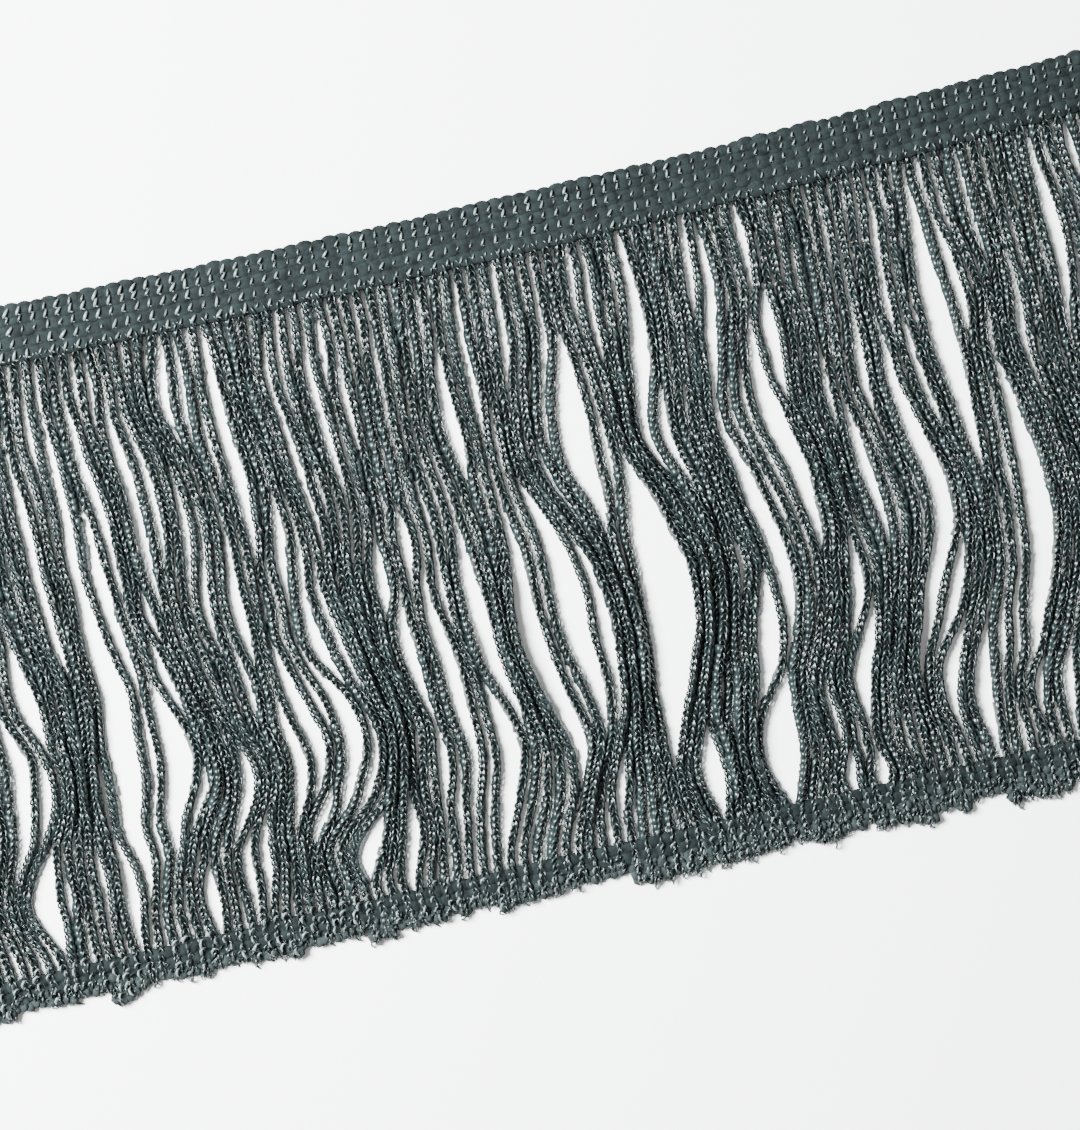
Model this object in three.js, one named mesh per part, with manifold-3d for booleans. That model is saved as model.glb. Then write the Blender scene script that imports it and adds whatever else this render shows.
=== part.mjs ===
// A cut length of black chainette fringe, lying flat.
// Millimetres, +Z up, X along the heading, the heading towards +Y.
import * as THREE from 'three';
import { mergeVertices } from 'three/addons/utils/BufferGeometryUtils.js';
import Module from 'manifold-3d';

const wasm = await Module();
wasm.setup();

// Driving sizes. A drop is a distance down from the level line at the heading's ends.
const STRANDS = 100;
const PITCH = 1.919;
const STRAND = { width: 1.4, height: 1.4, clearance: 0.3, closest: 0.44, steps: 14 };
const HEADING = { width: 8.9, crown: 1.35, bowPerStrand: 0.0008, bowStrand: 53, grip: 1.2 };
const HEADING_ROWS = { count: 5, valley: 1.6, ridge: 2.2 };
const RIDGE = { from: 0.3, to: 0.7 };
const SCALLOP = { depth: 0.3, notch: 0.09, notchPlace: 0.06, lip: 1.2, low: 0.3, high: 1.7 };
const BAND = { drop: 97.3, slopePerStrand: 0.013, width: 3.2, gap: 0.3, overhang: 0.5 };
const BAND_ROWS = { count: 2, valley: 1.5, ridge: 2.1 };
const STUB = { width: 1.2, height: 1.2, ragged: 0.5, cycle: 3, grip: 0.6 };
const SWEEP_STEPS = 24;

// Where the strands swing: a line between two strands, and its shift in pitches at each drop.
const SWAY_DROPS = [0, 10, 20, 30, 40, 50, 60, 68, 75, 82, 88, 97, 110];
const SWAY = [
  { line: 0, shifts: [0.2, 0, 0, 0, 0.2, 0.4, 0.8, 0.6, -0.4, -0.9, -0.7] },
  { line: 8, shifts: [0.2, 0, 0, 0.1, 0.4, 0.8, 1.2, 0.7, -0.8, -1.3, -0.7] },
  { line: 12, shifts: [0, -0.3, -0.2, -0.1, 0.2, 0.6, 0.5, 0.1, -0.4, -0.7, -0.9] },
  { line: 15, shifts: [0.1, -0.2, 0.1, -0.3, -0.2, 0.5, 0.4, 0.1, -0.5, -0.8, -1.1] },
  { line: 17, shifts: [0.1, -0.2, 0.4, 0.6, 0.6, 1.2, 1.5, 1.5, 0.3, -0.4, -0.9] },
  { line: 20, shifts: [-0.1, -0.3, 0.3, 0.4, 0.2, 0.9, 1.6, 1.8, 0.5, -0.4, -0.8] },
  { line: 24, shifts: [-0.1, -0.5, 0.2, 0.4, 0, 0.6, 1.2, 2, 0.7, -0.4, -0.8] },
  { line: 28, shifts: [0.2, 0, 0.5, 0.6, 0.1, 0.4, 1.1, 1.7, 0.7, -0.5, -1.1] },
  { line: 31, shifts: [0.1, -0.3, 0.3, 0.6, 0.4, 1, 2.1, 2.5, 1.4, -0.8, -1.6] },
  { line: 36, shifts: [0.1, -0.3, -0.2, 0.2, -0.2, -0.2, 0.7, 0.7, -0.1, -0.9, -1.6] },
  { line: 39, shifts: [0.1, -0.1, -0.2, -0.1, -0.3, -0.5, -0.1, 0.4, -0.1, -1, -1.5] },
  { line: 44, shifts: [0.2, -0.2, -0.4, -0.2, 0, 0, 0.3, 1, 1.2, 0.4, -1.3] },
  { line: 48, shifts: [0.1, -0.2, -0.6, -0.6, 0.2, 0.4, 0.6, 1, 1.5, 1.1, -0.8] },
  { line: 50, shifts: [0.2, -0.2, -0.7, -0.5, 0.6, 1.5, 1.7, 1.9, 1.4, 0.1, -1] },
  { line: 55, shifts: [0.1, 0, -0.4, -0.8, 0.6, 1.2, 1.2, 0.8, 0.4, -0.2, -0.6] },
  { line: 57, shifts: [0.1, 0, 0, 0.2, 1.2, 1.9, 1.6, 0.7, -0.1, -0.5, -0.6] },
  { line: 61, shifts: [0.1, 0.2, -0.3, -0.9, 0.6, 1.4, 0.8, -0.1, -0.8, -1.1, -1.2] },
  { line: 67, shifts: [0.2, 0.1, -0.4, -1.1, -0.2, 0.5, 0.2, -0.7, -1.8, -2.4, -2.6] },
  { line: 70, shifts: [0.3, 0.2, -0.3, -0.4, 0.5, 0.9, 0.5, -0.5, -2, -2.2, -2.4] },
  { line: 74, shifts: [0, -0.1, -0.5, -0.8, -0.4, 0.1, 0, -0.8, -2.2, -2.5, -2.6] },
  { line: 80, shifts: [-0.3, -0.4, -0.6, -0.5, 0.2, 0.9, -0.3, -1.8, -2.9, -3.2, -3.2] },
  { line: 84, shifts: [-0.2, -0.2, 0, -0.2, 0.3, 0.5, 0.1, -1.2, -3, -3.5, -3.3] },
  { line: 87, shifts: [0, 0, 0.3, 0.1, 0.8, 1.2, 0.8, -0.2, -1.6, -2.9, -3.1] },
  { line: 94, shifts: [-0.3, 0, 0, -0.6, 0, 0.6, 0.4, -0.4, -1.6, -2.8, -3.1] },
  { line: 100, shifts: [-0.3, -0.2, -0.2, -0.6, 0, 0.6, 0.4, -0.4, -1.6, -2.8, -3.1] },
];

// Where the strands part. Columns: line between two strands, top and bottom drop, clear width.
const PARTINGS = [
  [6, 58, 83, 2.2], [7, 66, 79, 1.6], [8, 48, 66, 2.2], [8, 79, 95, 3], [9, 84, 91, 0.9],
  [12, 13, 67, 1.4], [12, 80, 93, 1], [14, 9, 28, 0.8], [14, 64, 84, 1], [14, 79, 97, 1.7],
  [15, 9, 56, 1.4], [15, 42, 91, 3.4], [16, 25, 63, 1.2], [17, 12, 46, 1.5], [17, 58, 85, 3.3],
  [18, 9, 20, 0.9], [18, 50, 69, 1.4], [18, 71, 83, 1.7], [19, 9, 20, 1], [19, 44, 54, 1.3],
  [19, 84, 90, 0.8], [20, 13, 52, 1.8], [20, 75, 84, 1.1], [20, 86, 97, 1.8], [21, 15, 48, 1.2],
  [22, 69, 86, 1.8], [23, 26, 52, 1.1], [23, 83, 96, 1.3], [24, 33, 60, 1], [24, 80, 96, 1.3],
  [25, 9, 27, 1.4], [25, 57, 69, 1.1], [26, 10, 27, 0.9], [26, 38, 62, 1.5], [27, 65, 86, 2.3],
  [28, 8, 47, 1.8], [28, 56, 84, 1.9], [29, 80, 89, 1.8], [30, 36, 52, 1.5], [30, 60, 89, 2],
  [31, 42, 54, 1.1], [31, 50, 67, 1.9], [31, 66, 95, 1.6], [32, 47, 70, 1.4], [32, 78, 92, 1.3],
  [33, 13, 48, 1.2], [33, 84, 95, 3], [34, 9, 24, 0.8], [36, 9, 42, 1.1], [36, 84, 98, 1.9],
  [37, 11, 24, 0.8], [38, 13, 35, 0.8], [38, 45, 59, 1.7], [39, 54, 75, 2.2], [39, 74, 87, 1.2],
  [40, 42, 54, 1.3], [41, 15, 31, 0.9], [41, 50, 84, 2], [42, 45, 61, 0.9], [43, 66, 95, 2.2],
  [44, 44, 80, 2.4], [46, 20, 42, 1.8], [48, 13, 35, 1.3], [48, 44, 94, 2.8], [50, 42, 83, 3.3],
  [51, 8, 32, 1], [51, 52, 82, 3.2], [52, 84, 94, 1.2], [53, 33, 61, 1], [54, 8, 48, 0.9],
  [55, 22, 54, 3.4], [57, 9, 22, 0.9], [57, 40, 89, 6], [58, 9, 30, 0.9], [60, 42, 78, 0.9],
  [60, 83, 98, 2.6], [61, 8, 50, 2.1], [62, 31, 52, 1.3], [62, 74, 85, 1.2], [63, 80, 90, 1.1],
  [64, 55, 70, 1], [66, 8, 26, 1.2], [66, 62, 85, 2.8], [67, 11, 40, 1.7], [67, 36, 80, 2.2],
  [67, 78, 99, 4.8], [70, 8, 24, 1.2], [70, 25, 64, 2.6], [71, 21, 40, 2],
  [71, 80, 92, 1.2], [72, 91, 100, 1.5], [73, 60, 76, 1.6], [74, 70, 90, 2.2], [74, 93, 100, 1.7],
  [75, 28, 46, 0.9], [76, 41, 65, 1.5], [78, 29, 46, 1.2], [80, 27, 90, 2.4], [81, 11, 36, 0.9],
  [81, 63, 83, 1.6], [82, 31, 50, 1.2], [82, 76, 92, 2.2], [84, 12, 57, 3], [84, 78, 97, 2.3],
  [85, 16, 40, 1.3], [87, 32, 50, 0.8], [87, 40, 88, 3], [88, 9, 30, 0.9], [88, 83, 95, 1.2],
  [90, 24, 47, 1.1], [90, 84, 97, 1.4], [94, 8, 40, 1.6], [97, 8, 19, 0.9],
];
// A parting reaches over its neighbours; crowd makes up for what they push back.
const PARTING = { reach: 5, taper: 1.2, crowd: 1.2, usual: 0.47 };
const SPREAD_ROUNDS = 60;

// How far the cut ends hang below the holding band. Columns: strand, drop of its end.
const STUB_ENDS = [
  [0, 102], [8, 102.3], [13, 103.5], [16, 102.2], [24, 102.2], [30, 103], [38, 104], [44, 102.6],
  [49, 102.6], [53, 104.3], [62, 105], [76, 104.5], [100, 104.4],
];

// Straight interpolation in a table of rows: place, value.
function between(rows, place) {
  const last = rows.length - 2;
  const found = rows.findIndex((row, index) => index > last || place < rows[index + 1][0]);
  const index = Math.min(found, last);
  const [from, low] = rows[index];
  const [to, high] = rows[index + 1];
  return low + (high - low) * THREE.MathUtils.clamp((place - from) / (to - from), 0, 1);
}

// Smooth interpolation of one sway row down the fringe.
function swayAt(shifts, drop) {
  const values = [0, ...shifts, shifts[shifts.length - 1]];
  const last = SWAY_DROPS.length - 2;
  const found = SWAY_DROPS.findIndex((_, index) => index > last || drop < SWAY_DROPS[index + 1]);
  const index = Math.min(found, last);
  const slope = (at) => {
    if (at === 0 || at === SWAY_DROPS.length - 1) return 0;
    return (values[at + 1] - values[at - 1]) / (SWAY_DROPS[at + 1] - SWAY_DROPS[at - 1]);
  };
  const span = SWAY_DROPS[index + 1] - SWAY_DROPS[index];
  const t = (drop - SWAY_DROPS[index]) / span;
  const fromLow = (2 * t - 3) * t * t + 1;
  const leaveLow = ((t - 2) * t + 1) * t * span * slope(index);
  const reachHigh = (t - 1) * t * t * span * slope(index + 1);
  return fromLow * values[index] + leaveLow + (1 - fromLow) * values[index + 1] + reachHigh;
}

// The place of every strand across one drop, in pitches from the left end.
function strandRow(drop) {
  const sway = SWAY.map(({ line, shifts }) => [line, swayAt(shifts, drop)]);
  const row = Array.from({ length: STRANDS }, (_, i) => i + 0.5 + between(sway, i + 0.5));
  for (const [line, top, bottom, width] of PARTINGS) {
    const t = (drop - top) / (bottom - top);
    if (t <= 0 || t >= 1) continue;
    const opened = width * PARTING.crowd - PARTING.usual;
    const half = opened / PITCH / 2 * Math.sin(Math.PI * t) ** PARTING.taper;
    row.forEach((_, i) => {
      const away = i + 0.5 - line;
      const ease = Math.max(0, 1 - (Math.abs(away) - 0.5) / PARTING.reach);
      row[i] += Math.sign(away) * half * ease;
    });
  }
  return spread(row);
}

// Strands that come too close push each other aside.
function spread(row) {
  for (let round = 0; round < SPREAD_ROUNDS; round += 1) {
    for (let i = 0; i + 1 < row.length; i += 1) {
      const lack = STRAND.closest - (row[i + 1] - row[i]);
      if (lack <= 0) continue;
      row[i] -= lack / 2;
      row[i + 1] += lack / 2;
    }
  }
  return row;
}

// Where strands crowd, every second one rides up over its neighbours.
function liftOf(row, i) {
  if (i % 2 === 0) return 0;
  const free = STRAND.width + STRAND.clearance;
  const nearest = Math.min(row[i] - row[i - 1], (row[i + 1] ?? Infinity) - row[i]) * PITCH;
  return 2 * STRAND.height * Math.max(0, 1 - nearest / free);
}

const headingTop = (place) => HEADING.crown - HEADING.bowPerStrand * (place - HEADING.bowStrand) ** 2;
const headingFoot = (place) => headingTop(place) + HEADING.width;
const bandTop = (place) => BAND.drop + BAND.slopePerStrand * place;
const point = (place, drop, z) => new THREE.Vector3(place * PITCH, -drop, z);

// A closed solid through a row of like sections.
function loft(sections) {
  const sides = sections[0].length;
  const positions = sections.flat().flatMap((p) => [p.x, p.y, p.z]);
  const faces = [];
  for (let ring = 0; ring + 1 < sections.length; ring += 1) {
    for (let side = 0; side < sides; side += 1) {
      const a = ring * sides + side;
      const b = ring * sides + (side + 1) % sides;
      faces.push(a, b, a + sides, b, b + sides, a + sides);
    }
  }
  const end = (sections.length - 1) * sides;
  const step = sections[1][0].clone().sub(sections[0][0]);
  const alongX = Math.abs(step.x) > Math.abs(step.y);
  const outline = sections[0].map((p) => new THREE.Vector2(alongX ? p.y : p.x, p.z));
  const turn = Math.sign(THREE.ShapeUtils.area(outline));
  for (const corners of THREE.ShapeUtils.triangulateShape(outline, [])) {
    const [a, b, c] = corners;
    const same = THREE.ShapeUtils.area([outline[a], outline[b], outline[c]]) * turn > 0;
    const [p, q] = same ? [b, c] : [c, b];
    faces.push(a, q, p, end + a, end + p, end + q);
  }
  return solid(positions, faces);
}

// A closed triangle mesh, turned right side out.
function solid(positions, faces) {
  const geometry = new THREE.BufferGeometry();
  geometry.setAttribute('position', new THREE.Float32BufferAttribute(positions, 3));
  geometry.setIndex(faces);
  const body = toManifold(geometry);
  if (body.volume() > 0) return body;
  for (let i = 0; i < faces.length; i += 3) [faces[i], faces[i + 1]] = [faces[i + 1], faces[i]];
  geometry.setIndex(faces);
  return toManifold(geometry);
}

function toManifold(geometry) {
  const merged = mergeVertices(geometry);
  return new wasm.Manifold(new wasm.Mesh({
    numProp: 3,
    vertProperties: new Float32Array(merged.attributes.position.array),
    triVerts: new Uint32Array(merged.index.array),
  }));
}

function toGeometry(body) {
  const mesh = body.getMesh();
  const geometry = new THREE.BufferGeometry();
  geometry.setAttribute('position', new THREE.Float32BufferAttribute(mesh.vertProperties, 3));
  geometry.setIndex(new THREE.Uint32BufferAttribute(mesh.triVerts, 1));
  geometry.computeVertexNormals();
  return geometry;
}

// A strand's three-sided section at one drop.
function strandSection(place, drop, lift, { width, height }) {
  const half = width / 2 / PITCH;
  const crown = point(place, drop, lift + height);
  return [point(place - half, drop, lift), point(place + half, drop, lift), crown];
}

// A knitted band: rows of chain stitch as ridges, swept along its length.
function ribbedBand(topAt, from, to, width, rows) {
  const rowWidth = width / rows.count;
  const sections = [];
  for (let step = 0; step <= SWEEP_STEPS; step += 1) {
    const place = from + (to - from) * step / SWEEP_STEPS;
    const top = topAt(place);
    const section = [point(place, top, 0), point(place, top, rows.valley)];
    for (let row = 0; row < rows.count; row += 1) {
      const drop = top + rowWidth * row;
      section.push(point(place, drop + rowWidth * RIDGE.from, rows.ridge));
      section.push(point(place, drop + rowWidth * RIDGE.to, rows.ridge));
      section.push(point(place, drop + rowWidth, rows.valley));
    }
    section.push(point(place, top + width, 0));
    sections.push(section);
  }
  return loft(sections);
}

// The row of small loops along the heading's upper edge.
function scallops() {
  const outline = [];
  for (let i = 0; i < STRANDS; i += 1) {
    outline.push([i + SCALLOP.notchPlace, headingTop(i) - SCALLOP.notch]);
    outline.push([i + 0.5, headingTop(i + 0.5) - SCALLOP.depth]);
  }
  for (let step = 0; step <= SWEEP_STEPS; step += 1) {
    const place = STRANDS * (1 - step / SWEEP_STEPS);
    outline.push([place, headingTop(place) + SCALLOP.lip]);
  }
  const shape = new THREE.Shape(outline.map(([place, drop]) => new THREE.Vector2(place * PITCH, -drop)));
  const depth = SCALLOP.high - SCALLOP.low;
  const geometry = new THREE.ExtrudeGeometry(shape, { depth, bevelEnabled: false });
  geometry.translate(0, 0, SCALLOP.low);
  geometry.deleteAttribute('normal');
  geometry.deleteAttribute('uv');
  return toManifold(geometry);
}

// Each strand from inside the heading down to just above the holding band.
function strands() {
  const levels = Array.from({ length: STRAND.steps + 1 }, (_, step) => step / STRAND.steps);
  return Array.from({ length: STRANDS }, (_, i) => {
    const root = headingFoot(i + 0.5) - HEADING.grip;
    const foot = bandTop(i + 0.5) - BAND.gap;
    return loft(levels.map((level) => {
      const drop = root + (foot - root) * level;
      const row = strandRow(drop);
      return strandSection(row[i], drop, liftOf(row, i), STRAND);
    }));
  });
}

// The cut ends below the holding band, uneven in length.
function stubs(footRow) {
  return footRow.map((place, i) => {
    const start = bandTop(place) + BAND.width - STUB.grip;
    const end = between(STUB_ENDS, i) + STUB.ragged * (i % STUB.cycle - 1);
    const width = Math.min(STUB.width, STRAND.closest * PITCH - STRAND.clearance / 2);
    const section = { width, height: STUB.height };
    return loft([strandSection(place, start, 0, section), strandSection(place, end, 0, section)]);
  });
}

function makeHeadingWithStrands() {
  const band = ribbedBand(headingTop, 0, STRANDS, HEADING.width, HEADING_ROWS);
  return strands().reduce((body, strand) => body.add(strand), band.add(scallops()));
}

function makeHoldingBand() {
  const footRow = strandRow(BAND.drop);
  const from = footRow[0] - BAND.overhang;
  const to = footRow[STRANDS - 1] + BAND.overhang;
  const band = ribbedBand(bandTop, from, to, BAND.width, BAND_ROWS);
  return stubs(footRow).reduce((body, stub) => body.add(stub), band);
}

function addPiece(group, name, body, look) {
  const mesh = new THREE.Mesh(toGeometry(body), new THREE.MeshStandardMaterial(look));
  mesh.name = name;
  group.add(mesh);
}

const RAYON = { color: 0x2b3233, roughness: 0.5, metalness: 0 };
const SPUN_YARN = { color: 0x23292a, roughness: 0.7, metalness: 0 };
const fringe = new THREE.Group();
addPiece(fringe, 'heading_fringe', makeHeadingWithStrands(), RAYON);
addPiece(fringe, 'holding_band', makeHoldingBand(), SPUN_YARN);

// The origin is at the middle of the box, on the surface that the fringe lies on.
const box = new THREE.Box3().setFromObject(fringe);
const middle = box.getCenter(new THREE.Vector3());
fringe.position.set(-middle.x, -middle.y, -box.min.z);

export default fringe;
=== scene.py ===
# %% [markdown]
# A cut length of black chainette fringe.
# The real trimming is made on a crochet-knitting machine: a narrow heading of chain rows holds a row of
# chained rayon cords, and two more chain rows near the cut ends keep the cords in order until it is sewn on.
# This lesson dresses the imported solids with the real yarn: every chain stitch is a small mesh.

# %% Load the frame
import math
import random

import bpy
import numpy as np
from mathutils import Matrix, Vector


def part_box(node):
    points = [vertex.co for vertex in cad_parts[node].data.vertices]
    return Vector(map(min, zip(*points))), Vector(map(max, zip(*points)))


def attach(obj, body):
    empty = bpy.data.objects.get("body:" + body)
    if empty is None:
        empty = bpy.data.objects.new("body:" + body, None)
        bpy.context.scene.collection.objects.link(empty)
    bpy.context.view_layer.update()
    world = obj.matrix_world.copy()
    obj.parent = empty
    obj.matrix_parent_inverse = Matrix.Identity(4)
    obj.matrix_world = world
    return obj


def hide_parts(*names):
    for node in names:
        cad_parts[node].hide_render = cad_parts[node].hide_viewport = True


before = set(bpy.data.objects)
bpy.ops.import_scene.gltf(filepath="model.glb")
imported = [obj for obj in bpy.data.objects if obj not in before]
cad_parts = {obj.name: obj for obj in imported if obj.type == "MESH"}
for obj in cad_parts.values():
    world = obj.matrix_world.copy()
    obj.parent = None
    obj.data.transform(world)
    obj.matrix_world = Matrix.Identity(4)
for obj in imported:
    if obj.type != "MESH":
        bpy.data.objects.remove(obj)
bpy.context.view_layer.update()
MM = 0.001
heading_low, heading_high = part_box("heading_fringe")

# %% [markdown]
# The drop of a fringe is measured down from its heading.
# A place along the heading is counted in strands from the left end, so that a table can name a strand.
# These sizes and the two tables of waves are the same as in the solids, because the yarn has to lie on them.

# %% Driving sizes, in millimetres
STRANDS = 100
PITCH = 1.919
CORD = 1.42
# The closest that two cords come to each other, in pitches.
CLOSEST = 0.44
HEADING_WIDTH = 8.9
HEADING_CROWN, HEADING_BOW, BOW_STRAND = 1.35, 0.0008, 53
SCALLOP_DEPTH = 0.3
BAND_DROP, BAND_SLOPE = 97.3, 0.013
SEED = 15


def heading_top(place):
    """The drop of the upper edge of the heading, which bows a little."""
    return HEADING_CROWN - HEADING_BOW * (place - BOW_STRAND) ** 2


def band_top(place):
    """The drop of the upper edge of the holding band, which slopes a little."""
    return BAND_DROP + BAND_SLOPE * place


LEVEL = heading_high.y / MM + heading_top(0.5) - SCALLOP_DEPTH
RIGHT_END = heading_high.x / MM


def spot(place, drop, height):
    """A point in metres from a place in strands, a drop and a height in millimetres."""
    return Vector((RIGHT_END + (place - STRANDS) * PITCH, LEVEL - drop, height)) * MM


print("heading from", round(spot(0, 0, 0).x / MM, 1), "to", round(RIGHT_END, 1), "mm")

# %% [markdown]
# The fringe lies as it fell, and both tables were read from the photo.
# Each row of the first is a line between two strands, with its shift in pitches at each of the drops.
# Each row of the second is a gap: its line, the drops where it opens and closes, and its clear width.
# Random waves would be shorter to write, but the fringe would then hang unlike the one in the photo.

# %% Where the strands swing
SWAY_DROPS = [0, 10, 20, 30, 40, 50, 60, 68, 75, 82, 88, 97, 110]
SWAY = {
    0: [.2, 0, 0, 0, .2, .4, .8, .6, -.4, -.9, -.7],
    8: [.2, 0, 0, .1, .4, .8, 1.2, .7, -.8, -1.3, -.7],
    12: [0, -.3, -.2, -.1, .2, .6, .5, .1, -.4, -.7, -.9],
    15: [.1, -.2, .1, -.3, -.2, .5, .4, .1, -.5, -.8, -1.1],
    17: [.1, -.2, .4, .6, .6, 1.2, 1.5, 1.5, .3, -.4, -.9],
    20: [-.1, -.3, .3, .4, .2, .9, 1.6, 1.8, .5, -.4, -.8],
    24: [-.1, -.5, .2, .4, 0, .6, 1.2, 2, .7, -.4, -.8],
    28: [.2, 0, .5, .6, .1, .4, 1.1, 1.7, .7, -.5, -1.1],
    31: [.1, -.3, .3, .6, .4, 1, 2.1, 2.5, 1.4, -.8, -1.6],
    36: [.1, -.3, -.2, .2, -.2, -.2, .7, .7, -.1, -.9, -1.6],
    39: [.1, -.1, -.2, -.1, -.3, -.5, -.1, .4, -.1, -1, -1.5],
    44: [.2, -.2, -.4, -.2, 0, 0, .3, 1, 1.2, .4, -1.3],
    48: [.1, -.2, -.6, -.6, .2, .4, .6, 1, 1.5, 1.1, -.8],
    50: [.2, -.2, -.7, -.5, .6, 1.5, 1.7, 1.9, 1.4, .1, -1],
    55: [.1, 0, -.4, -.8, .6, 1.2, 1.2, .8, .4, -.2, -.6],
    57: [.1, 0, 0, .2, 1.2, 1.9, 1.6, .7, -.1, -.5, -.6],
    61: [.1, .2, -.3, -.9, .6, 1.4, .8, -.1, -.8, -1.1, -1.2],
    67: [.2, .1, -.4, -1.1, -.2, .5, .2, -.7, -1.8, -2.4, -2.6],
    70: [.3, .2, -.3, -.4, .5, .9, .5, -.5, -2, -2.2, -2.4],
    74: [0, -.1, -.5, -.8, -.4, .1, 0, -.8, -2.2, -2.5, -2.6],
    80: [-.3, -.4, -.6, -.5, .2, .9, -.3, -1.8, -2.9, -3.2, -3.2],
    84: [-.2, -.2, 0, -.2, .3, .5, .1, -1.2, -3, -3.5, -3.3],
    87: [0, 0, .3, .1, .8, 1.2, .8, -.2, -1.6, -2.9, -3.1],
    94: [-.3, 0, 0, -.6, 0, .6, .4, -.4, -1.6, -2.8, -3.1],
    100: [-.3, -.2, -.2, -.6, 0, .6, .4, -.4, -1.6, -2.8, -3.1],
}

# %% Where the strands part
PARTINGS = [
    (6, 58, 83, 2.2), (7, 66, 79, 1.6), (8, 48, 66, 2.2), (8, 79, 95, 3), (9, 84, 91, .9),
    (12, 13, 67, 1.4), (12, 80, 93, 1), (14, 9, 28, .8), (14, 64, 84, 1), (14, 79, 97, 1.7),
    (15, 9, 56, 1.4), (15, 42, 91, 3.4), (16, 25, 63, 1.2), (17, 12, 46, 1.5), (17, 58, 85, 3.3),
    (18, 9, 20, .9), (18, 50, 69, 1.4), (18, 71, 83, 1.7), (19, 9, 20, 1), (19, 44, 54, 1.3),
    (19, 84, 90, .8), (20, 13, 52, 1.8), (20, 75, 84, 1.1), (20, 86, 97, 1.8), (21, 15, 48, 1.2),
    (22, 69, 86, 1.8), (23, 26, 52, 1.1), (23, 83, 96, 1.3), (24, 33, 60, 1), (24, 80, 96, 1.3),
    (25, 9, 27, 1.4), (25, 57, 69, 1.1), (26, 10, 27, .9), (26, 38, 62, 1.5), (27, 65, 86, 2.3),
    (28, 8, 47, 1.8), (28, 56, 84, 1.9), (29, 80, 89, 1.8), (30, 36, 52, 1.5), (30, 60, 89, 2),
    (31, 42, 54, 1.1), (31, 50, 67, 1.9), (31, 66, 95, 1.6), (32, 47, 70, 1.4), (32, 78, 92, 1.3),
    (33, 13, 48, 1.2), (33, 84, 95, 3), (34, 9, 24, .8), (36, 9, 42, 1.1), (36, 84, 98, 1.9),
    (37, 11, 24, .8), (38, 13, 35, .8), (38, 45, 59, 1.7), (39, 54, 75, 2.2), (39, 74, 87, 1.2),
    (40, 42, 54, 1.3), (41, 15, 31, .9), (41, 50, 84, 2), (42, 45, 61, .9), (43, 66, 95, 2.2),
    (44, 44, 80, 2.4), (46, 20, 42, 1.8), (48, 13, 35, 1.3), (48, 44, 94, 2.8), (50, 42, 83, 3.3),
    (51, 8, 32, 1), (51, 52, 82, 3.2), (52, 84, 94, 1.2), (53, 33, 61, 1), (54, 8, 48, .9),
    (55, 22, 54, 3.4), (57, 9, 22, .9), (57, 40, 89, 6), (58, 9, 30, .9), (60, 42, 78, .9),
    (60, 83, 98, 2.6), (61, 8, 50, 2.1), (62, 31, 52, 1.3), (62, 74, 85, 1.2), (63, 80, 90, 1.1),
    (64, 55, 70, 1), (66, 8, 26, 1.2), (66, 62, 85, 2.8), (67, 11, 40, 1.7), (67, 36, 80, 2.2),
    (67, 78, 99, 4.8), (70, 8, 24, 1.2), (70, 25, 64, 2.6), (71, 21, 40, 2),
    (71, 80, 92, 1.2), (72, 91, 100, 1.5), (73, 60, 76, 1.6), (74, 70, 90, 2.2), (74, 93, 100, 1.7),
    (75, 28, 46, .9), (76, 41, 65, 1.5), (78, 29, 46, 1.2), (80, 27, 90, 2.4), (81, 11, 36, .9),
    (81, 63, 83, 1.6), (82, 31, 50, 1.2), (82, 76, 92, 2.2), (84, 12, 57, 3), (84, 78, 97, 2.3),
    (85, 16, 40, 1.3), (87, 32, 50, .8), (87, 40, 88, 3), (88, 9, 30, .9), (88, 83, 95, 1.2),
    (90, 24, 47, 1.1), (90, 84, 97, 1.4), (94, 8, 40, 1.6), (97, 8, 19, .9),
]
print(len(SWAY), "sway rows,", len(PARTINGS), "partings")

# %% [markdown]
# A limp cord bends smoothly, so each sway row is a smooth curve down the drop.
# A parting pushes the strands on both sides away from its line, less and less over the next few strands.
# Where strands crowd they push each other aside, and every second one rides up over its neighbours.

# %% Strand places at one drop
PARTING_REACH, PARTING_TAPER, PARTING_CROWD, USUAL_GAP = 5, 1.2, 1.2, 0.47


def sway_at(shifts, drop):
    """A smooth curve through the shifts of one sway row, at one drop."""
    values = [0, *shifts, shifts[-1]]
    slopes = [0, *[(values[j + 1] - values[j - 1]) / (SWAY_DROPS[j + 1] - SWAY_DROPS[j - 1])
                   for j in range(1, len(values) - 1)], 0]
    low = min(int(np.searchsorted(SWAY_DROPS, drop, side="right")) - 1, len(values) - 2)
    span = SWAY_DROPS[low + 1] - SWAY_DROPS[low]
    t = (drop - SWAY_DROPS[low]) / span
    keep = (2 * t - 3) * t * t + 1
    leave = ((t - 2) * t + 1) * t * span * slopes[low]
    arrive = (t - 1) * t * t * span * slopes[low + 1]
    return keep * values[low] + leave + (1 - keep) * values[low + 1] + arrive


def strand_row(drop):
    """The places of all the strands at one drop, in strands from the left end."""
    middles = np.arange(STRANDS) + 0.5
    row = middles + np.interp(middles, list(SWAY), [sway_at(shifts, drop) for shifts in SWAY.values()])
    for line, top, bottom, width in PARTINGS:
        t = (drop - top) / (bottom - top)
        if 0 < t < 1:
            half = (width * PARTING_CROWD - USUAL_GAP) / PITCH / 2 * math.sin(math.pi * t) ** PARTING_TAPER
            away = middles - line
            row += np.sign(away) * half * np.clip(1 - (abs(away) - 0.5) / PARTING_REACH, 0, None)
    return spread(row)


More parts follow.
